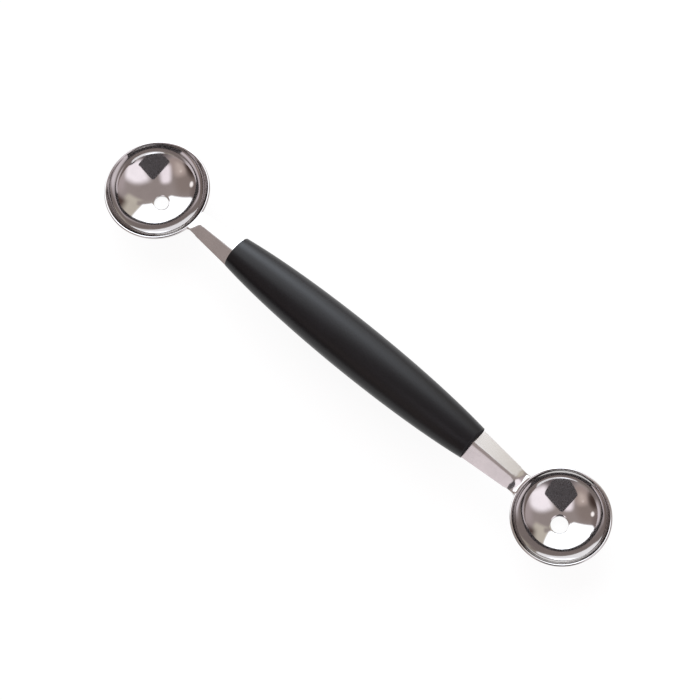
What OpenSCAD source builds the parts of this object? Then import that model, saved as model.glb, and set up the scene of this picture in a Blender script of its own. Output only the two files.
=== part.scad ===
// Double-ended fruit scoop: a steel bowl on a ridged neck at each end of a black grip.
// The rims are level, the mouths look up, X runs from the large bowl to the small one,
// and the lowest point of the large bowl stands on Z = 0 under the middle of the tool.

/* [Overall] */
// Length over both rims
overall_len = 180; // [165:1:200]

/* [Bowls] */
// Outside diameter of the large bowl's rim
large_rim_d = 30.9; // [29:0.1:34]
// Outside diameter of the small bowl's rim
small_rim_d = 27.8; // [25:0.1:28.8]
// Thickness of the bowls' steel
bowl_sheet = 0.7; // [0.5:0.05:0.9]
// Inside radius of the large bowl's upturned edge
large_edge_r = 10; // [8:0.1:12]
// Inside radius of the small bowl's upturned edge
small_edge_r = 7.5; // [6:0.1:9]
// Slope of the wall at the rims, in degrees from level
rim_slope = 75; // [70:1:80]
// Slope where the large bowl's round bottom runs into its upturned edge
large_turn = 40; // [34:1:46]
// Slope where the small bowl's round bottom runs into its upturned edge
small_turn = 50; // [44:1:56]
// Diameter of the large bowl's vent hole
large_vent_d = 4.4; // [3:0.1:6.5]
// Diameter of the small bowl's vent hole
small_vent_d = 4.9; // [3:0.1:6.5]

/* [Necks] */
// Thickness of the necks' steel
neck_sheet = 1; // [0.8:0.05:1.2]
// Width of the large bowl's neck at the handle
large_root_w = 9.4; // [7:0.1:9.6]
// Width of the large bowl's neck at its narrow end
large_tip_w = 6.6; // [5:0.1:7.4]
// Width of the small bowl's neck at the handle
small_root_w = 9.9; // [7:0.1:10.2]
// Width of the small bowl's neck at its narrow end
small_tip_w = 6.9; // [5:0.1:7.4]
// Fall of the large bowl's neck towards its bowl, in degrees
large_fall = 1; // [0:0.5:4]
// Fall of the small bowl's neck towards its bowl, in degrees
small_fall = 5; // [0:0.5:6]
// Slope of the two flat sides of a neck
roof_slope = 17; // [10:1:17]
// Outside radius of the ridge between them
ridge_r = 2; // [1.5:0.1:3]
// Height of the ridge above the rims where a neck meets its pad
ridge_rise = 0.9; // [0.7:0.1:1.4]
// Length of the flat pad between the large bowl's neck and the rim
large_pad_len = 0.9; // [0.8:0.1:3]
// Length of the flat pad between the small bowl's neck and the rim
small_pad_len = 0.9; // [0.8:0.1:3]
// Depth of the pads' tops below the rims
pad_drop = 0.1; // [0:0.05:0.3]
// Width of the pads beside the welds
pad_w = 6.2; // [4.5:0.1:6.6]
// Length over which the large bowl's ridge comes down to the pad
large_hip_len = 0.9; // [0.7:0.1:2]
// Length over which the small bowl's ridge comes down to the pad
small_hip_len = 0.8; // [0.6:0.1:2]

/* [Tangs] */
// Length of the tang inside the handle
tang_len = 24; // [16:1:34]
// Width of the tang
tang_w = 6.2; // [4.5:0.1:7]
// Diameter of the locking hole through the tang
lock_d = 3; // [2:0.1:3.6]
// Distance from the tang's end to the middle of the locking hole
lock_inset = 6; // [4:0.5:9]
// Clearance round the tang and round the locking peg
tang_fit = 0.05; // [0.02:0.01:0.12]

/* [Welds] */
// Width of the weld between the pad and the bowl
weld_w = 0.6; // [0.4:0.05:0.8]
// How far the weld runs past each side of the pad
weld_over = 0.7; // [0.3:0.1:1.2]

/* [Handle] */
// Length of the handle
handle_len = 88; // [76:0.5:104]
// Distance of the handle's middle from the tool's middle, towards the small bowl
handle_shift = 1; // [-1:0.25:3]
// Width of the handle at its belly
grip_w = 15.1; // [12:0.1:20]
// Height of the handle at its belly
grip_h = 12.4; // [11:0.1:16]
// Width of the handle half its length away from the belly
end_w = 10.2; // [10:0.1:11.8]
// Distance of the belly from the tool's middle, towards the small bowl
belly_shift = 1.5; // [0:0.1:4]
// Bevel of the handle's end edges
end_bevel = 0.5; // [0.3:0.1:1]
// Height of the handle's axis above the rims
axis_rise = 1.4; // [-0.5:0.1:2]

/* [Hidden] */
$fn = 96;
steel = "gainsboro";
bright = "whitesmoke";
black = "#232527";
// Extra reach of a cutting shape past what it cuts
past = 1;

// A short core inside the bowl's wall where its two bands meet, and its distance from both skins
core_len = 0.6;
core_skin = 0.05;

// The fill under a neck's hip: its width, and its reach into the sheet and the pad as shares of the sheet
fill_w = 3.6;
fill_up = 0.4;
fill_down = 0.5;

// How far the round lip stands out from each skin of the sheet, and its radius
lip_over = 0.02;
lip_round = bowl_sheet / 2 + lip_over;

// Middle line of the bowl's wall: a bottom arc about the bowl's axis, then the edge's arc, then the lip.
lip_z = -lip_round;
function lip_r(rim_d) = rim_d / 2 - lip_round;
function edge_mid(edge_r) = edge_r + bowl_sheet / 2;
function edge_x(rim_d, edge_r) = lip_r(rim_d) - edge_mid(edge_r) * sin(rim_slope);
function edge_z(edge_r) = lip_z + edge_mid(edge_r) * cos(rim_slope);
function bottom_mid(rim_d, edge_r, turn) = edge_mid(edge_r) + edge_x(rim_d, edge_r) / sin(turn);
function bottom_z(rim_d, edge_r, turn) =
    edge_z(edge_r) + (bottom_mid(rim_d, edge_r, turn) - edge_mid(edge_r)) * cos(turn);
function foot_z(rim_d, edge_r, turn, vent_d) = bottom_z(rim_d, edge_r, turn)
    - sqrt(pow(bottom_mid(rim_d, edge_r, turn) + bowl_sheet / 2, 2) - pow(vent_d / 2, 2));

// Height of both rims above the lowest point
rim_z = -min(
    foot_z(large_rim_d, large_edge_r, large_turn, large_vent_d),
    foot_z(small_rim_d, small_edge_r, small_turn, small_vent_d)
);
large_x = overall_len / 2 - large_rim_d / 2;
small_x = overall_len / 2 - small_rim_d / 2;

// Where each neck leaves the handle, and where its hip ends at the pad, both away from the middle
large_root = handle_len / 2 - handle_shift;
small_root = handle_len / 2 + handle_shift;
large_hip = overall_len / 2 - large_rim_d - large_pad_len;
small_hip = overall_len / 2 - small_rim_d - small_pad_len;

// The handle is an ellipsoid about its belly, cut level at both ends: its half length if it were whole
barrel_a = handle_len / 2 / sqrt(1 - pow(end_w / grip_w, 2));
function barrel_half(x) = grip_w / 2 * sqrt(1 - pow((x - belly_shift) / barrel_a, 2));

// A band of sheet between two slopes of an arc
module band(centre, mid_r, sheet, from, to) {
    far = 2 * (mid_r + sheet);
    translate(centre)
        intersection() {
            difference() {
                circle(r = mid_r + sheet / 2);
                circle(r = mid_r - sheet / 2);
            }
            polygon([[0, 0], far * [sin(from), -cos(from)], far * [sin(to), -cos(to)]]);
        }
}

module bowl_section(rim_d, edge_r, turn) {
    band([0, bottom_z(rim_d, edge_r, turn)], bottom_mid(rim_d, edge_r, turn), bowl_sheet, 0, turn);
    band([edge_x(rim_d, edge_r), edge_z(edge_r)], edge_mid(edge_r), bowl_sheet, turn, rim_slope);
    translate([edge_x(rim_d, edge_r), edge_z(edge_r)])
        rotate(turn)
            translate([0, -edge_mid(edge_r)])
                square([core_len, bowl_sheet - 2 * core_skin], center = true);
    translate([lip_r(rim_d), lip_z])
        circle(r = lip_round);
}

module bowl_wall(rim_d, edge_r, turn) {
    rotate_extrude()
        bowl_section(rim_d, edge_r, turn);
}

// A pressed bowl with a round lip and a vent hole in its bottom
module bowl(x, rim_d, edge_r, turn, vent_d) {
    translate([x, 0, rim_z])
        difference() {
            bowl_wall(rim_d, edge_r, turn);
            translate([0, 0, -rim_z - past])
                cylinder(d = vent_d, h = rim_z);
        }
}

// Cross-section of the ridged sheet, its ridge's top at the origin
module roof_section(reach, grow = 0) {
    wedge = 2 * ridge_r;
    translate([0, -ridge_r]) {
        intersection() {
            difference() {
                circle(r = ridge_r + grow);
                circle(r = ridge_r - neck_sheet - grow);
            }
            polygon([[0, 0], wedge * [-sin(roof_slope), cos(roof_slope)], wedge * [sin(roof_slope), cos(roof_slope)]]);
        }
        for (side = [0, 1])
            mirror([side, 0])
                rotate(-roof_slope)
                    translate([0, ridge_r - neck_sheet - grow])
                        square([reach, neck_sheet + 2 * grow]);
    }
}

// The ridged sheet along X
module roof_bar(from, to, reach, grow = 0) {
    translate([from, 0, ridge_rise])
        rotate([90, 0, 90])
            linear_extrude(to - from)
                roof_section(reach, grow);
}

module upright(height) {
    translate([0, 0, -height])
        linear_extrude(2 * height)
            children();
}

// Leans a neck about its hip's end, so that it falls towards the bowl
module leaned(fall, hip_at) {
    translate([hip_at, 0, 0])
        rotate([0, fall, 0])
            translate([-hip_at, 0, 0])
                children();
}

// A neck on the small bowl's side, from the tang in the handle to the pad at the bowl
module neck(root, hip_at, hip_len, fall, bowl_x, rim_d, root_w, tip_w) {
    tang_at = root - tang_len;
    translate([0, 0, rim_z])
        difference() {
            union() {
                intersection() {
                    leaned(fall, hip_at)
                        intersection() {
                            union() {
                                roof_bar(tang_at - past, hip_at + past, root_w);
                                hip_fill(hip_at, hip_len);
                            }
                            hip_side(tang_at - past, hip_at, hip_len);
                        }
                    upright(grip_w)
                        union() {
                            polygon([
                                [root, -root_w / 2],
                                [hip_at, -tip_w / 2],
                                [hip_at, tip_w / 2],
                                [root, root_w / 2]
                            ]);
                            translate([tang_at, -tang_w / 2])
                                square([tang_len + past, tang_w]);
                        }
                }
                pad(hip_at, hip_len, bowl_x, tip_w);
            }
            translate([bowl_x, 0, -grip_w])
                cylinder(d = rim_d + 2 * weld_w, h = 2 * grip_w);
            translate([tang_at + lock_inset, 0, -grip_w])
                cylinder(d = lock_d, h = 2 * grip_w);
        }
}

// Side view of the sheet: straight along the ridge, then down to the pad at the hip
module hip_side(from, hip_at, hip_len) {
    rotate([90, 0, 0])
        upright(grip_w)
            polygon([
                [from, -grip_w],
                [from, ridge_rise],
                [hip_at - hip_len, ridge_rise],
                [hip_at, -pad_drop],
                [hip_at, -grip_w]
            ]);
}

// Metal under the hip, where the folded sheet is pressed flat
module hip_fill(hip_at, hip_len) {
    low = -pad_drop - fill_down * neck_sheet;
    translate([hip_at - hip_len, -fill_w / 2, low])
        cube([hip_len + past, fill_w, ridge_rise - (1 - fill_up) * neck_sheet - low]);
}

// The flat end of the neck, under the hip and out to the bowl
module pad(hip_at, hip_len, bowl_x, tip_w) {
    translate([0, 0, -pad_drop - neck_sheet])
        linear_extrude(neck_sheet)
            polygon([
                [hip_at - hip_len, -tip_w / 2],
                [hip_at, -tip_w / 2],
                [bowl_x, -pad_w / 2],
                [bowl_x, pad_w / 2],
                [hip_at, tip_w / 2],
                [hip_at - hip_len, tip_w / 2]
            ]);
}

// The polished weld between the pad's end and the bowl, round the bowl's axis
module weld(bowl_x, rim_d, edge_r, turn) {
    outer_r = rim_d / 2 + weld_w;
    half_w = pad_w / 2 + weld_over;
    translate([bowl_x, 0, rim_z])
        difference() {
            intersection() {
                translate([0, 0, -pad_drop - neck_sheet])
                    cylinder(r = outer_r, h = neck_sheet);
                translate([-outer_r - past, -half_w, -grip_w])
                    cube([outer_r + past, 2 * half_w, 2 * grip_w]);
            }
            translate([0, 0, -grip_w])
                cylinder(r = lip_r(rim_d), h = 2 * grip_w);
            bowl_wall(rim_d, edge_r, turn);
        }
}

// The cutting outline of the handle's ends, half of it: flat ends with bevelled edges
module end_section() {
    large_half = barrel_half(-large_root) - end_bevel;
    small_half = barrel_half(small_root) - end_bevel;
    polygon([
        [0, -large_root],
        [large_half, -large_root],
        [large_half + grip_w, -large_root + grip_w],
        [small_half + grip_w, small_root - grip_w],
        [small_half, small_root],
        [0, small_root]
    ]);
}

// One socket for a tang, on the small bowl's side, with the moulded peg that locks the tang
module socket(root, hip_at, fall) {
    tang_at = root - tang_len;
    difference() {
        intersection() {
            leaned(fall, hip_at)
                roof_bar(tang_at - past, root + past, tang_w, tang_fit);
            translate([tang_at - tang_fit, -tang_w / 2 - tang_fit, -grip_w])
                cube([tang_len + past, tang_w + 2 * tang_fit, 2 * grip_w]);
        }
        translate([tang_at + lock_inset, 0, -grip_w])
            cylinder(d = lock_d - 2 * tang_fit, h = 2 * grip_w);
    }
}

module large_bowl() {
    color(steel)
        bowl(-large_x, large_rim_d, large_edge_r, large_turn, large_vent_d);
}

module small_bowl() {
    color(steel)
        bowl(small_x, small_rim_d, small_edge_r, small_turn, small_vent_d);
}

module large_neck() {
    color(steel)
        mirror([1, 0, 0])
            neck(large_root, large_hip, large_hip_len, large_fall, large_x, large_rim_d, large_root_w, large_tip_w);
}

module small_neck() {
    color(steel)
        neck(small_root, small_hip, small_hip_len, small_fall, small_x, small_rim_d, small_root_w, small_tip_w);
}

module large_weld() {
    color(bright)
        mirror([1, 0, 0])
            weld(large_x, large_rim_d, large_edge_r, large_turn);
}

module small_weld() {
    color(bright)
        weld(small_x, small_rim_d, small_edge_r, small_turn);
}

// The ellipsoid has its poles on the handle's axis, past the ends that are cut off
module barrel() {
    intersection() {
        translate([belly_shift, 0, 0])
            scale([barrel_a, grip_w / 2, grip_h / 2])
                rotate([0, 90, 0])
                    sphere(r = 1, $fn = 180);
        scale([1, 1, grip_h / grip_w])
            rotate([0, 90, 0])
                rotate_extrude()
                    end_section();
    }
}

// The moulded grip, an oval barrel with a socket in each end
module handle() {
    color(black)
        translate([0, 0, rim_z])
            difference() {
                translate([0, 0, axis_rise])
                    barrel();
                socket(small_root, small_hip, small_fall);
                mirror([1, 0, 0])
                    socket(large_root, large_hip, large_fall);
            }
}

large_bowl();
small_bowl();
large_neck();
small_neck();
large_weld();
small_weld();
handle();
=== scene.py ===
import bmesh
import bpy
import math
from mathutils import Matrix, Vector


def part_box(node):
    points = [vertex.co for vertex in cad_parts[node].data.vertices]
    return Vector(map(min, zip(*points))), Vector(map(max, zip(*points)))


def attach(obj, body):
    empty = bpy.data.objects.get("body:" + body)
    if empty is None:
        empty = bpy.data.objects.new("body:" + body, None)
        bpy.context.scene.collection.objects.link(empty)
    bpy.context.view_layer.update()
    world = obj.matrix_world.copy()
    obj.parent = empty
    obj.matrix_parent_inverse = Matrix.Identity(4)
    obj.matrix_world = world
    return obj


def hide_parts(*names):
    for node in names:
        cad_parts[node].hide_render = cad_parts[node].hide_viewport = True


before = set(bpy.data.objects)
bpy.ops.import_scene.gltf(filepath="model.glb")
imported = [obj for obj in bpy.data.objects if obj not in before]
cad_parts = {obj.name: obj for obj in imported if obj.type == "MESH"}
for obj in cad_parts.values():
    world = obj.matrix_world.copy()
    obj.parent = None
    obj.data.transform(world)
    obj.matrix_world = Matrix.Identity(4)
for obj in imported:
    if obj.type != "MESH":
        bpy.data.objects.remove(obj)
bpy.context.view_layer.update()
mm = 0.001
tiny = 0.001 * mm  # places closer than this count as one

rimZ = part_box("large_bowl")[1].z  # both rims are level here
largeX = (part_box("large_bowl")[0].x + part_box("large_bowl")[1].x) / 2
smallX = (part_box("small_bowl")[0].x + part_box("small_bowl")[1].x) / 2
largeRim = (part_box("large_bowl")[1].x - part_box("large_bowl")[0].x) / 2
smallRim = (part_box("small_bowl")[1].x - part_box("small_bowl")[0].x) / 2
print("frame loaded, rims at", round(rimZ / mm, 2), "mm")


# the camera, at the place and turn that the photograph was taken from
cameraPlan = {
    "lens": 105.253,
    "sensor": 36,
    "near": 0.01,
    "far": 50,
    "place": (153.678 * mm, -132.296 * mm, 535.357 * mm),  # from the middle of the rims
    "right": (0.74872, 0.66088, -0.05148),
    "up": (-0.60674, 0.71451, 0.34835),
    "back": (0.26700, -0.22958, 0.93595),
}

bpy.ops.object.select_all(action="DESELECT")
bpy.ops.object.camera_add()
camera = bpy.context.object
camera.name = "photoCamera"
camera.data.lens = cameraPlan["lens"]
camera.data.sensor_width = cameraPlan["sensor"]
camera.data.clip_start = cameraPlan["near"]
camera.data.clip_end = cameraPlan["far"]
cameraTurn = Matrix((cameraPlan["right"], cameraPlan["up"], cameraPlan["back"])).transposed()
camera.matrix_world = (
    Matrix.Translation(Vector(cameraPlan["place"]) + Vector((0, 0, rimZ))) @ cameraTurn.to_4x4()
)
bpy.context.scene.camera = camera
print("camera set")


# shader maths
class Wire:
    def __init__(self, bench, socket):
        self.bench = bench
        self.socket = socket

    def sum(self, operation, first, second):
        return self.bench.node("ShaderNodeMath", {"operation": operation}, {0: first, 1: second})

    def __add__(self, other):
        return self.sum("ADD", self, other)

    def __radd__(self, other):
        return self.sum("ADD", other, self)

    def __mul__(self, other):
        return self.sum("MULTIPLY", self, other)

    def __rmul__(self, other):
        return self.sum("MULTIPLY", other, self)


class Bench:
    def __init__(self, tree):
        self.tree = tree
        tree.nodes.clear()

    def node(self, kind, settings=None, sockets=None, out=0):
        made = self.tree.nodes.new(kind)
        for name, value in (settings or {}).items():
            setattr(made, name, value)
        for name, value in (sockets or {}).items():
            if isinstance(value, Wire):
                self.tree.links.new(value.socket, made.inputs[name])
            else:
                made.inputs[name].default_value = value
        return Wire(self, made.outputs[out]) if made.outputs else made

    def mix(self, factor, first, second):
        return self.node(
            "ShaderNodeMix",
            {"data_type": "RGBA"},
            {0: factor, 6: asColour(first), 7: asColour(second)},
            2,
        )

    def fade(self, value, start, end):  # 0 at start, 1 at end, smooth between them
        return self.node(
            "ShaderNodeMapRange",
            {"interpolation_type": "SMOOTHSTEP"},
            {"Value": value, "From Min": start, "From Max": end, "To Min": 0.0, "To Max": 1.0},
        )

    def noise(self, where, scale, detail, roughness):
        return self.node(
            "ShaderNodeTexNoise",
            {},
            {"Vector": where, "Scale": scale, "Detail": detail, "Roughness": roughness},
        )

    def bump(self, height, strength, distance):
        return self.node(
            "ShaderNodeBump", {}, {"Strength": strength, "Distance": distance, "Height": height}
        )

    def objectPlace(self):
        return self.node("ShaderNodeTexCoord", out=3)


def asColour(value):
    return value if isinstance(value, Wire) or len(value) == 4 else (*value, 1)


def newMaterial(name):
    made = bpy.data.materials.new(name)
    made.use_nodes = True
    return made, Bench(made.node_tree)


def finishMaterial(bench, sockets):
    surface = bench.node("ShaderNodeBsdfPrincipled", {}, sockets)
    bench.node("ShaderNodeOutputMaterial", {}, {"Surface": surface})


# the three steels: bare colour, least roughness and how far it varies, polishing lines
steelPlans = {
    "polishedBowlSteel": {
        "colour": (0.625, 0.61, 0.605),
        "rough": 0.045,
        "spread": 0.03,
        "lineScale": (900, 900, 900),
        "lineDepth": 0.03,
    },
    "brushedNeckSteel": {
        "colour": (0.66, 0.645, 0.635),
        "rough": 0.13,
        "spread": 0.08,
        "lineScale": (120, 5200, 5200),
        "lineDepth": 0.15,
    },
    "polishedWeldSteel": {
        "colour": (0.72, 0.71, 0.70),
        "rough": 0.10,
        "spread": 0.06,
        "lineScale": (2400, 2400, 2400),
        "lineDepth": 0.1,
    },
}
steelHaze = {
    "scale": 180.0,
    "from": 0.35,
    "to": 0.7,
    "dull": 0.94,  # the hazy parts' share of the bare colour
    "hazeShare": 0.6,  # of the roughness that varies
    "lineShare": 0.4,
    "lineHeight": 0.02 * mm,
}


def steelMaterial(name):
    plan = steelPlans[name]
    made, bench = newMaterial(name)
    place = bench.objectPlace()
    lines = bench.node("ShaderNodeMapping", {}, {"Vector": place, "Scale": plan["lineScale"]})
    scratch = bench.noise(lines, 1.0, detail=3.0, roughness=0.6)
    haze = bench.noise(place, steelHaze["scale"], detail=3.0, roughness=0.6)
    hazy = bench.fade(haze, steelHaze["from"], steelHaze["to"])
    dull = tuple(part * steelHaze["dull"] for part in plan["colour"])
    uneven = haze * steelHaze["hazeShare"] + scratch * steelHaze["lineShare"]
    finishMaterial(
        bench,
        {
            "Base Color": bench.mix(hazy, plan["colour"], dull),
            "Metallic": 1.0,
            "Roughness": plan["rough"] + plan["spread"] * uneven,
            "Normal": bench.bump(scratch, plan["lineDepth"], steelHaze["lineHeight"]),
        },
    )
    return made


bowlSteel = steelMaterial("polishedBowlSteel")
neckSteel = steelMaterial("brushedNeckSteel")
weldSteel = steelMaterial("polishedWeldSteel")

gripPlan = {
    "colour": (0.0028, 0.0027, 0.0040),
    "pale": 1.5,  # how much paler the cloudy parts are
    "rough": 0.29,
    "cloudRough": 0.06,
    "specular": 0.36,
    "matt": 0.5,  # extra roughness of the two ends
    "mattFrom": 0.2 * mm,  # it starts this far in from an end
    "mattFull": 0.05 * mm,
    "cloudScale": 90.0,
    "grainScale": 5200.0,
    "grainDepth": 0.25,
    "grainHeight": 0.03 * mm,
}


def gripMaterial():
    made, bench = newMaterial("satinBlackPlastic")
    place = bench.objectPlace()
    grain = bench.noise(place, gripPlan["grainScale"], detail=2.0, roughness=0.55)
    cloud = bench.noise(place, gripPlan["cloudScale"], detail=3.0, roughness=0.55)
    pale = tuple(part * gripPlan["pale"] for part in gripPlan["colour"])
    low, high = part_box("handle")
    along = bench.node("ShaderNodeSeparateXYZ", {}, {0: place})
    start, full = gripPlan["mattFrom"], gripPlan["mattFull"]
    ends = bench.fade(along, high.x - start, high.x - full)
    ends = ends + bench.fade(along, low.x + start, low.x + full)
    rough = gripPlan["rough"] + gripPlan["cloudRough"] * cloud + gripPlan["matt"] * ends
    finishMaterial(
        bench,
        {
            "Base Color": bench.mix(bench.fade(cloud, 0.3, 0.75), gripPlan["colour"], pale),
            "Roughness": rough,
            "Specular IOR Level": gripPlan["specular"],
            "Normal": bench.bump(grain, gripPlan["grainDepth"], gripPlan["grainHeight"]),
        },
    )
    return made


gripBlack = gripMaterial()
print("materials made")


# modelling helpers
sharpAngle = math.radians(50)  # edges that turn more than this stay sharp


def fresh():
    if bpy.context.mode != "OBJECT":
        bpy.ops.object.mode_set(mode="OBJECT")
    bpy.ops.object.select_all(action="DESELECT")


def openPiece(name):
    piece = bpy.context.object
    piece.name = name
    piece.data.name = name
    bpy.ops.object.mode_set(mode="EDIT")
    bpy.ops.mesh.select_mode(type="VERT")
    return piece


def pick(piece, test):  # selects the vertices that pass, and says how many do
    mesh = bmesh.from_edit_mesh(piece.data)
    for face in mesh.faces:
        face.select_set(False)
    for edge in mesh.edges:
        edge.select_set(False)
    count = 0
    for vert in mesh.verts:
        chosen = bool(test(vert.co))
        vert.select_set(chosen)
        count += chosen
    mesh.select_flush(True)
    bmesh.update_edit_mesh(piece.data)
    return count


def closePiece(piece, material, node):
    fresh()
    piece.select_set(True)
    bpy.context.view_layer.objects.active = piece
    bpy.ops.object.transform_apply(location=True, rotation=True, scale=True)
    piece.data.materials.clear()
    piece.data.materials.append(material)
    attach(piece, "root")
    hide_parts(node)


def addModifier(piece, kind, **values):
    made = piece.modifiers.new(kind.lower(), kind)
    for name, value in values.items():
        setattr(made, name, value)
    bpy.ops.object.modifier_apply(modifier=made.name)


def tidyShell():
    bpy.ops.mesh.select_all(action="SELECT")
    bpy.ops.mesh.remove_doubles(threshold=tiny)
    bpy.ops.mesh.normals_make_consistent(inside=False)
    bpy.ops.object.mode_set(mode="OBJECT")
    bpy.ops.object.shade_smooth_by_angle(angle=sharpAngle)


def drawOutline(name, centreX, outline):  # a closed outline in the upright plane along X
    fresh()
    bpy.ops.mesh.primitive_plane_add(size=mm, location=(0, 0, 0))
    piece = openPiece(name)
    bpy.ops.mesh.select_all(action="SELECT")
    bpy.ops.mesh.merge(type="CENTER")
    bpy.ops.transform.translate(value=(centreX + outline[0][0], 0, rimZ + outline[0][1]))
    for before, after in zip(outline, outline[1:]):
        step = (after[0] - before[0], 0, after[1] - before[1])
        bpy.ops.mesh.extrude_vertices_move(TRANSFORM_OT_translate={"value": step})
    first = Vector((centreX + outline[0][0], 0, rimZ + outline[0][1]))
    last = Vector((centreX + outline[-1][0], 0, rimZ + outline[-1][1]))
    pick(piece, lambda co: (co - first).length < tiny or (co - last).length < tiny)
    bpy.ops.mesh.edge_face_add()
    return piece


# bowls: the wall's outline is extruded point by point and spun about the bowl's axis
bowlPlan = {
    "sheet": 0.7 * mm,
    "lip": 0.37 * mm,  # from the rim's outside and top to the middle of the round lip
    "rimSlope": 75,
    "ventEdge": 0.08 * mm,
    "spinSteps": 192,
    "bottomSteps": 22,
    "edgeSteps": 18,
    "lipSteps": 14,
    "large": {"edgeRadius": 10 * mm, "turn": 40, "vent": 2.2 * mm},
    "small": {"edgeRadius": 7.5 * mm, "turn": 50, "vent": 2.45 * mm},
}


def arcPoints(centre, radius, start, end, count):
    points = []
    for i in range(count + 1):
        slope = math.radians(start + (end - start) * i / count)
        points.append((centre[0] + radius * math.sin(slope), centre[1] - radius * math.cos(slope)))
    return points


def bowlOutline(rimRadius, edgeRadius, turn, vent):
    sheet, rimSlope, ventEdge = bowlPlan["sheet"], bowlPlan["rimSlope"], bowlPlan["ventEdge"]
    bottomSteps, edgeSteps = bowlPlan["bottomSteps"], bowlPlan["edgeSteps"]
    lip = (rimRadius - bowlPlan["lip"], -bowlPlan["lip"])
    edgeMiddle = edgeRadius + sheet / 2
    edge = (
        lip[0] - edgeMiddle * math.sin(math.radians(rimSlope)),
        lip[1] + edgeMiddle * math.cos(math.radians(rimSlope)),
    )
    bottomMiddle = edgeMiddle + edge[0] / math.sin(math.radians(turn))
    bottom = (0, edge[1] + (bottomMiddle - edgeMiddle) * math.cos(math.radians(turn)))
    inner, outer = bottomMiddle - sheet / 2, bottomMiddle + sheet / 2
    ventIn = math.degrees(math.asin((vent + ventEdge) / inner))
    ventOut = math.degrees(math.asin((vent + ventEdge) / outer))
    points = arcPoints(bottom, inner, ventIn, turn, bottomSteps)
    points += arcPoints(edge, edgeRadius, turn, rimSlope, edgeSteps)[1:]
    points += arcPoints(lip, sheet / 2, rimSlope + 180, rimSlope, bowlPlan["lipSteps"])[1:-1]
    points += arcPoints(edge, edgeRadius + sheet, rimSlope, turn, edgeSteps)
    points += arcPoints(bottom, outer, turn, ventOut, bottomSteps)[1:]
    points.append((vent, points[-1][1] + ventEdge))
    points.append((vent, points[0][1] - ventEdge))
    return points


def makeBowl(name, centreX, rimRadius, shape, node):
    outline = bowlOutline(rimRadius, shape["edgeRadius"], shape["turn"], shape["vent"])
    piece = drawOutline(name, centreX, outline)
    bpy.ops.mesh.select_all(action="SELECT")
    bpy.ops.mesh.spin(
        steps=bowlPlan["spinSteps"], angle=math.tau, center=(centreX, 0, rimZ), axis=(0, 0, 1)
    )
    tidyShell()
    closePiece(piece, bowlSteel, node)


makeBowl("largeBowl", largeX, largeRim, bowlPlan["large"], "large_bowl")
makeBowl("smallBowl", smallX, smallRim, bowlPlan["small"], "small_bowl")
print("bowls made")


# grip: a long ball cut off at both ends, with rounded end edges
gripShape = {
    "belly": 1.5 * mm,
    "halfWhole": 59.67 * mm,  # half length of the whole ball
    "halfWidth": 7.55 * mm,
    "halfHeight": 6.2 * mm,
    "segments": 96,
    "rings": 120,
    "endRound": 0.6 * mm,
    "endSteps": 5,
}


def makeGrip():
    low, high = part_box("handle")
    fresh()
    bpy.ops.mesh.primitive_uv_sphere_add(
        segments=gripShape["segments"], ring_count=gripShape["rings"], radius=1
    )
    piece = bpy.context.object
    piece.rotation_euler = (0, math.pi / 2, 0)
    bpy.ops.object.transform_apply(location=True, rotation=True, scale=True)
    piece.scale = (gripShape["halfWhole"], gripShape["halfWidth"], gripShape["halfHeight"])
    piece.location = (gripShape["belly"], 0, (low.z + high.z) / 2)
    bpy.ops.object.transform_apply(location=True, rotation=True, scale=True)
    openPiece("grip")
    for side, end in ((-1, low.x), (1, high.x)):
        bpy.ops.mesh.select_all(action="SELECT")
        bpy.ops.mesh.bisect(
            plane_co=(end, 0, 0), plane_no=(side, 0, 0), clear_outer=True, use_fill=True
        )
    for end in (low.x, high.x):
        pick(piece, lambda co: abs(co.x - end) < tiny)
        bpy.ops.mesh.region_to_loop()
        bpy.ops.mesh.bevel(
            offset=gripShape["endRound"],
            segments=gripShape["endSteps"],
            profile=0.5,
            affect="EDGES",
        )
    tidyShell()
    closePiece(piece, gripBlack, "handle")


makeGrip()
print("grip made")


# necks: a grid folded along its ridge, tapered, let down to a flat pad and curved round the rim
neckPlans = {  # lengths along the tool are from its middle
    "largeNeck": {
        "side": -1,
        "rimRadius": largeRim,
        "root": 43.0 * mm,
        "hip": 58.9 * mm,
        "hipLength": 1.5 * mm,
        "rimAt": 59.1 * mm,
        "pad": 0.06 * mm,  # above the rims
        "soften": 4,
        "pinch": None,
        "fall": 1,
        "rootWidth": 9.4 * mm,
        "tipWidth": 6.6 * mm,
        "node": "large_neck",
    },
    "smallNeck": {
        "side": 1,
        "rimRadius": smallRim,
        "root": 45 * mm,
        "hip": 62.1 * mm,
        "hipLength": 1.7 * mm,
        "rimAt": 62.2 * mm,
        "pad": -0.12 * mm,
        "soften": 6,
        "pinch": (61.9 * mm, 2.3 * mm, 0.3 * mm),  # place along and across, depth
        "fall": 5,
        "rootWidth": 9.9 * mm,
        "tipWidth": 6.9 * mm,
        "node": "small_neck",
    },
}
neckShape = {
    "tangSteps": 4,  # rows of the grid that reach into the handle
    "tangWidth": 6.2 * mm,
    "ridge": 0.9 * mm,
    "slope": 17,
    "ridgeRadius": 2.0 * mm,
    "padWidth": 6.2 * mm,
    "padTaper": 1.0 * mm,
    "sheet": 1.0 * mm,
    "edge": 0.18 * mm,
    "edgeSteps": 3,
    "sharp": 40,
    "step": 0.3 * mm,
    "rows": 32,
    "past": 0.1 * mm,  # how far the pad goes on past the rim
    "curved": 1.6 * mm,  # how far back the end takes up the rim's curve
    "softBefore": 1.2 * mm,  # softened from this far before the hip
    "softShort": 0.2 * mm,  # to this far short of the rim
    "pinchSize": 2.1 * mm,
}


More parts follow.
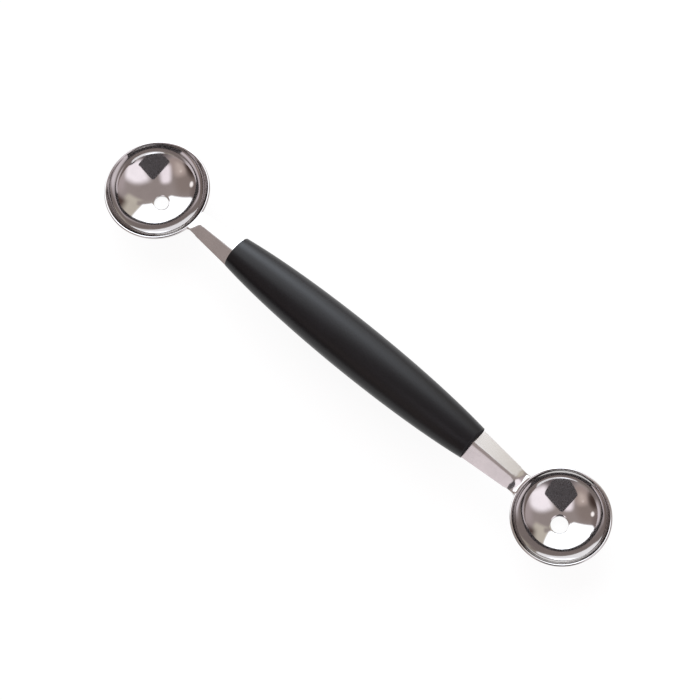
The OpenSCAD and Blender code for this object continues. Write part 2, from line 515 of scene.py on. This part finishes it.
def roofDrop(across):
    radius = neckShape["ridgeRadius"]
    slope = math.radians(neckShape["slope"])
    bend = radius * math.sin(slope)
    across = abs(across)
    if across < bend:
        return radius - math.sqrt(radius**2 - across**2)
    return radius * (1 - math.cos(slope)) + (across - bend) * math.tan(slope)


def widthAt(plan, x):
    root, hip, tip = plan["root"], plan["hip"], plan["tipWidth"]
    if x < root - tiny:
        return neckShape["tangWidth"]
    share = min(1, max(0, (x - root) / (hip - root)))
    local = plan["rootWidth"] + (tip - plan["rootWidth"]) * share
    if x > hip:
        local += (neckShape["padWidth"] - tip) * min(1, (x - hip) / neckShape["padTaper"])
    return local


def shapeStation(piece, plan, x):  # taper, let the ridge down at the hip, then lean
    side, hip = plan["side"], plan["hip"]
    hipStart = hip - plan["hipLength"]
    ridgeZ, padZ = rimZ + neckShape["ridge"], rimZ + plan["pad"]
    size = widthAt(plan, x) / plan["rootWidth"]
    pick(piece, lambda co: abs(co.x - side * x) < tiny)
    bpy.ops.transform.resize(value=(1, size, 1), center_override=(side * x, 0, ridgeZ))
    bpy.ops.transform.resize(value=(1, 1, size), center_override=(side * x, 0, ridgeZ))
    fall = min(1, max(0, (x - hipStart) / plan["hipLength"]))
    level = ridgeZ + (padZ - ridgeZ) * fall
    if fall > 0 and pick(piece, lambda co: abs(co.x - side * x) < tiny and co.z > level):
        bpy.ops.transform.resize(value=(1, 1, 0), center_override=(side * x, 0, level))
    if x < hip:
        pick(piece, lambda co: abs(co.x - side * x) < tiny)
        lift = (hip - x) * math.tan(math.radians(plan["fall"]))
        bpy.ops.transform.translate(value=(0, 0, lift))


def curveStation(piece, plan, x, end):  # curve the end round the bowl's rim
    side, outer, rimAt = plan["side"], plan["rimRadius"], plan["rimAt"]
    reach = neckShape["curved"]
    share = (x - (rimAt - reach)) / (end - rimAt + reach)
    if share <= 0:
        return
    mesh = bmesh.from_edit_mesh(piece.data)
    across = sorted({round(v.co.y / tiny) for v in mesh.verts if abs(v.co.x - side * x) < tiny})
    for place in across:
        y = place * tiny
        bow = outer - math.sqrt(outer**2 - y**2)
        pick(piece, lambda co: abs(co.x - side * x) < tiny and abs(co.y - y) < tiny)
        bpy.ops.transform.translate(value=(side * bow * share, 0, 0))


def pinchHip(piece, side, along, across, depth):  # a shallow hollow at each edge
    for way in (-1, 1):
        spot = Vector((side * along, way * across, 0))
        pick(piece, lambda co: (co.xy - spot.xy).length < neckShape["step"])
        bpy.ops.transform.translate(
            value=(0, 0, -depth),
            use_proportional_edit=True,
            proportional_edit_falloff="SMOOTH",
            proportional_size=neckShape["pinchSize"],
        )


def makeNeck(name, plan):
    fresh()
    side, root, width = plan["side"], plan["root"], plan["rootWidth"]
    end = plan["rimAt"] + neckShape["past"]
    steps = round((end - root) / neckShape["step"])
    step = (end - root) / steps
    stations = steps + neckShape["tangSteps"]
    start = end - stations * step
    places = [start + station * step for station in range(stations + 1)]
    rows = neckShape["rows"]
    bpy.ops.mesh.primitive_grid_add(x_subdivisions=stations, y_subdivisions=rows, size=1)
    piece = bpy.context.object
    piece.scale = (end - start, width, 1)
    piece.location = (side * (start + end) / 2, 0, rimZ + neckShape["ridge"])
    bpy.ops.object.transform_apply(location=True, rotation=True, scale=True)
    openPiece(name)
    for row in range(rows + 1):  # fold along the ridge
        y = width * (row / rows - 0.5)
        pick(piece, lambda co: abs(co.y - y) < tiny)
        bpy.ops.transform.translate(value=(0, 0, -roofDrop(y)))
    for x in places:
        shapeStation(piece, plan, x)
    for x in places:
        curveStation(piece, plan, x, end)
    softFrom = plan["hip"] - plan["hipLength"] - neckShape["softBefore"]
    softTo = plan["rimAt"] - neckShape["softShort"]
    pick(piece, lambda co: softFrom < abs(co.x) < softTo)
    bpy.ops.mesh.vertices_smooth(factor=0.5, repeat=plan["soften"])
    if plan["pinch"]:
        pinchHip(piece, side, *plan["pinch"])
    bpy.ops.object.mode_set(mode="OBJECT")
    addModifier(piece, "SOLIDIFY", thickness=neckShape["sheet"], offset=-1)
    addModifier(
        piece,
        "BEVEL",
        width=neckShape["edge"],
        segments=neckShape["edgeSteps"],
        limit_method="ANGLE",
        angle_limit=sharpAngle,
    )
    addModifier(piece, "SUBSURF", levels=1, render_levels=1)
    bpy.ops.object.shade_smooth_by_angle(angle=math.radians(neckShape["sharp"]))
    closePiece(piece, neckSteel, plan["node"])


for neckName, neckPlan in neckPlans.items():
    makeNeck(neckName, neckPlan)
print("necks made")


# welds: a low bead over the rim's outer half, spun about the bowl's axis and thinned at its ends
weldPlans = {  # points of the outline are mm out from the rim's outside and up from its top
    "largeWeld": {
        "bowlX": largeX,
        "rimRadius": largeRim,
        "side": 1,
        "top": [(-0.42, -0.05), (-0.28, 0.01), (0.0, 0.025), (0.45, 0.045), (0.85, 0.06)],
        "halfTurn": 12.6,
        "node": "large_weld",
    },
    "smallWeld": {
        "bowlX": smallX,
        "rimRadius": smallRim,
        "side": -1,
        "top": [(-0.42, -0.05), (-0.28, 0.01), (0.0, 0.005), (0.45, -0.06), (0.9, -0.13)],
        "halfTurn": 14.0,
        "node": "small_weld",
    },
}
weldShape = {
    "under": [(1.0, -0.3), (0.8, -0.85), (0.1, -1.0), (-0.35, -0.6)],
    "steps": 16,
    "ends": [(0, 0.25), (1, 0.6), (2, 0.85)],  # sections from an end, and their size
    "core": 0.35 * mm,  # how far under the rim's top the sections shrink to
}


def makeWeld(name, plan):
    bowlX, rimRadius, side = plan["bowlX"], plan["rimRadius"], plan["side"]
    halfTurn, steps, centre = plan["halfTurn"], weldShape["steps"], (plan["bowlX"], 0, rimZ)
    points = plan["top"] + weldShape["under"]
    outline = [(side * (rimRadius + out * mm), up * mm) for out, up in points]
    piece = drawOutline(name, bowlX, outline)
    for turn in (-halfTurn, halfTurn):
        pick(piece, lambda co: abs(co.y) < tiny)
        bpy.ops.mesh.spin(steps=steps, angle=math.radians(turn), center=centre, axis=(0, 0, 1))
    bpy.ops.mesh.select_all(action="SELECT")
    bpy.ops.mesh.remove_doubles(threshold=tiny)
    for way in (-1, 1):
        for station, size in weldShape["ends"]:
            angle = math.radians(halfTurn * (1 - station / steps)) * way
            across = Vector((math.sin(angle), -math.cos(angle), 0))  # square to this section
            out = side * rimRadius
            spot = Vector(
                (bowlX + out * math.cos(angle), out * math.sin(angle), rimZ - weldShape["core"])
            )
            pick(piece, lambda co: abs((co - spot).dot(across)) < tiny)
            bpy.ops.transform.resize(value=(size, size, size), center_override=spot)
            if station == 0:
                bpy.ops.mesh.edge_face_add()
    tidyShell()
    closePiece(piece, weldSteel, plan["node"])


for weldName, weldPlan in weldPlans.items():
    makeWeld(weldName, weldPlan)
print("welds made")


# pale floor: to the camera, metal and glass it glows almost white and still takes a faint shadow
floorPlan = {"size": 6.0, "colour": (0.9, 0.9, 0.9), "shade": 0.13, "glow": 0.9}


def makeFloor():
    fresh()
    bpy.ops.mesh.primitive_plane_add(size=floorPlan["size"], location=(0, 0, 0))
    floor = bpy.context.object
    floor.name = "floor"
    made, bench = newMaterial("paleFloor")
    path = bench.node("ShaderNodeLightPath").socket.node
    seen = [
        Wire(bench, path.outputs[name])
        for name in ("Is Camera Ray", "Is Glossy Ray", "Is Transmission Ray")
    ]
    share = bench.node(
        "ShaderNodeMath", {"operation": "MINIMUM"}, {0: seen[0] + seen[1] + seen[2], 1: 1.0}
    )
    plain = bench.node("ShaderNodeBsdfDiffuse", {}, {"Color": asColour(floorPlan["colour"])})
    shaded = bench.node("ShaderNodeBsdfDiffuse", {}, {"Color": (*[floorPlan["shade"]] * 3, 1)})
    glow = bench.node(
        "ShaderNodeEmission", {}, {"Color": (1, 1, 1, 1), "Strength": floorPlan["glow"]}
    )
    bright = bench.node("ShaderNodeAddShader", {}, {0: shaded, 1: glow})
    both = bench.node("ShaderNodeMixShader", {}, {0: share, 1: plain, 2: bright})
    bench.node("ShaderNodeOutputMaterial", {}, {"Surface": both})
    floor.data.materials.append(made)


makeFloor()


# soft surroundings: light and dark areas, placed as the polished steel reflects them
pictureRight = Vector((0.7497, 0.6617, 0))
pictureUp = Vector((-0.6617, 0.7497, 0))


def lookTo(right, up):  # a direction, in degrees from straight up
    away = math.radians(math.hypot(right, up))
    flat = (pictureRight * right + pictureUp * up) / math.hypot(right, up)
    return flat * math.sin(away) + Vector((0, 0, math.cos(away)))


def tone(red, green, blue):  # the light that polished steel shows as this 8-bit colour
    steel = steelPlans["polishedBowlSteel"]["colour"][1]
    linear = []
    for part in (red, green, blue):
        part /= 255
        linear.append((part / 12.92 if part < 0.04045 else ((part + 0.055) / 1.055) ** 2.4) / steel)
    return tuple(linear)


studioPlan = {  # corners and places are degrees to the picture's right and up from straight up
    "overhead": tone(141, 131, 129),
    "side": tone(150, 140, 140),
    "sideTo": 0.1,  # heights, 0 level and 1 straight up, between which one fades to the other
    "overheadFrom": 0.8,
    "spots": [  # place, degrees of full and of no effect, light
        ((-58, -10), 12, 34, tone(128, 116, 112)),
        ((-45, -42), 10, 26, tone(152, 138, 134)),
        ((-78, -26), 5, 22, tone(62, 50, 46)),
        ((-80, 22), 6, 24, tone(110, 98, 96)),
        ((-67, 3), 1.0, 5.5, tone(255, 250, 250)),
        ((-48, -30), 0.5, 4, tone(250, 240, 240)),
        ((5, -88), 10, 40, tone(90, 82, 84)),
    ],
    "panes": [  # corners against the clock, softness in degrees, light
        ([(24, 22), (52, 14), (62, 44), (52, 74), (26, 60)], 5, tone(180, 173, 163)),
        ([(52, 30), (84, 22), (86, 60), (56, 66)], 7, tone(72, 58, 54)),
        ([(58, -30), (88, -30), (88, 18), (60, 14)], 8, tone(160, 149, 150)),
        ([(14, -19), (34, -66), (72, -46), (64, -14), (38, -8)], 8, tone(240, 233, 239)),
        ([(-25, -14), (-28, -46), (-4, -46), (-7, -14), (-14, -11)], 6, tone(234, 225, 231)),
        ([(-56, -24), (-52, -48), (-38, -48), (-38, -24)], 8, tone(182, 168, 162)),
        ([(-30, 8), (34, 24), (34, 34), (-24, 18)], 3, tone(146, 137, 133)),
        (
            [(-64, 28), (-25, 11.5), (29, 31), (35, 52), (44, 74), (-10, 84), (-70, 58)],
            2.0,
            (1.93, 1.97, 2.05),
        ),
        ([(-14, 44), (10, 40), (19, 54), (5, 74), (-18, 68)], 6, (4.3, 4.6, 5.0)),
    ],
}


def facing(bench, look, way):  # cosine of the angle between them
    return bench.node("ShaderNodeVectorMath", {"operation": "DOT_PRODUCT"}, {0: look, 1: way}, 1)


def makeWorld():
    world = bpy.data.worlds.new("softStudio")
    bpy.context.scene.world = world
    world.use_nodes = True
    bench = Bench(world.node_tree)
    look = bench.node("ShaderNodeTexCoord", out=0)
    height = bench.node("ShaderNodeSeparateXYZ", {}, {0: look}, 2)
    rise = bench.fade(height, studioPlan["sideTo"], studioPlan["overheadFrom"])
    colour = bench.mix(rise, studioPlan["side"], studioPlan["overhead"])
    for place, full, none, light in studioPlan["spots"]:
        near, far = math.cos(math.radians(full)), math.cos(math.radians(none))
        share = bench.fade(facing(bench, look, lookTo(*place)), far, near)
        colour = bench.mix(share, colour, light)
    for corners, soft, light in studioPlan["panes"]:
        share = 1.0
        edge = math.sin(math.radians(soft))
        for first, second in zip(corners, corners[1:] + corners[:1]):
            inward = lookTo(*first).cross(lookTo(*second)).normalized()
            share = share * bench.fade(facing(bench, look, inward), -edge, edge)
        colour = bench.mix(share, colour, light)
    shine = bench.node("ShaderNodeBackground", {}, {"Color": colour, "Strength": 1.0})
    bench.node("ShaderNodeOutputWorld", {}, {"Surface": shine})


makeWorld()


# the dark card behind and below the camera, seen only in reflections
cardPlan = {
    "colour": (0.105, 0.098, 0.102),
    "rough": 0.9,
    "corners": 5,
    "radius": 0.47,
    "stretch": 1.46,
    "round": 0.06,
    "roundSteps": 8,
    "above": 0.094,  # how far its top corner stands above the lens
    "behind": 0.03,
}


def makeCard():
    made, bench = newMaterial("darkCard")
    finishMaterial(
        bench, {"Base Color": asColour(cardPlan["colour"]), "Roughness": cardPlan["rough"]}
    )
    fresh()
    bpy.ops.mesh.primitive_circle_add(
        vertices=cardPlan["corners"], radius=cardPlan["radius"], fill_type="NGON"
    )
    card = openPiece("darkCard")
    bpy.ops.mesh.select_all(action="SELECT")
    bpy.ops.transform.resize(value=(1, cardPlan["stretch"], 1))
    bpy.ops.mesh.bevel(
        offset=cardPlan["round"], segments=cardPlan["roundSteps"], affect="VERTICES"
    )
    bpy.ops.object.mode_set(mode="OBJECT")
    drop = cardPlan["radius"] * cardPlan["stretch"] - cardPlan["above"]
    card.matrix_world = camera.matrix_world @ Matrix.Translation((0, -drop, cardPlan["behind"]))
    card.data.materials.append(made)
    card.visible_camera = False
    card.visible_diffuse = False
    card.visible_shadow = False


makeCard()

scene = bpy.context.scene
scene.view_settings.view_transform = "Standard"
print("studio made")
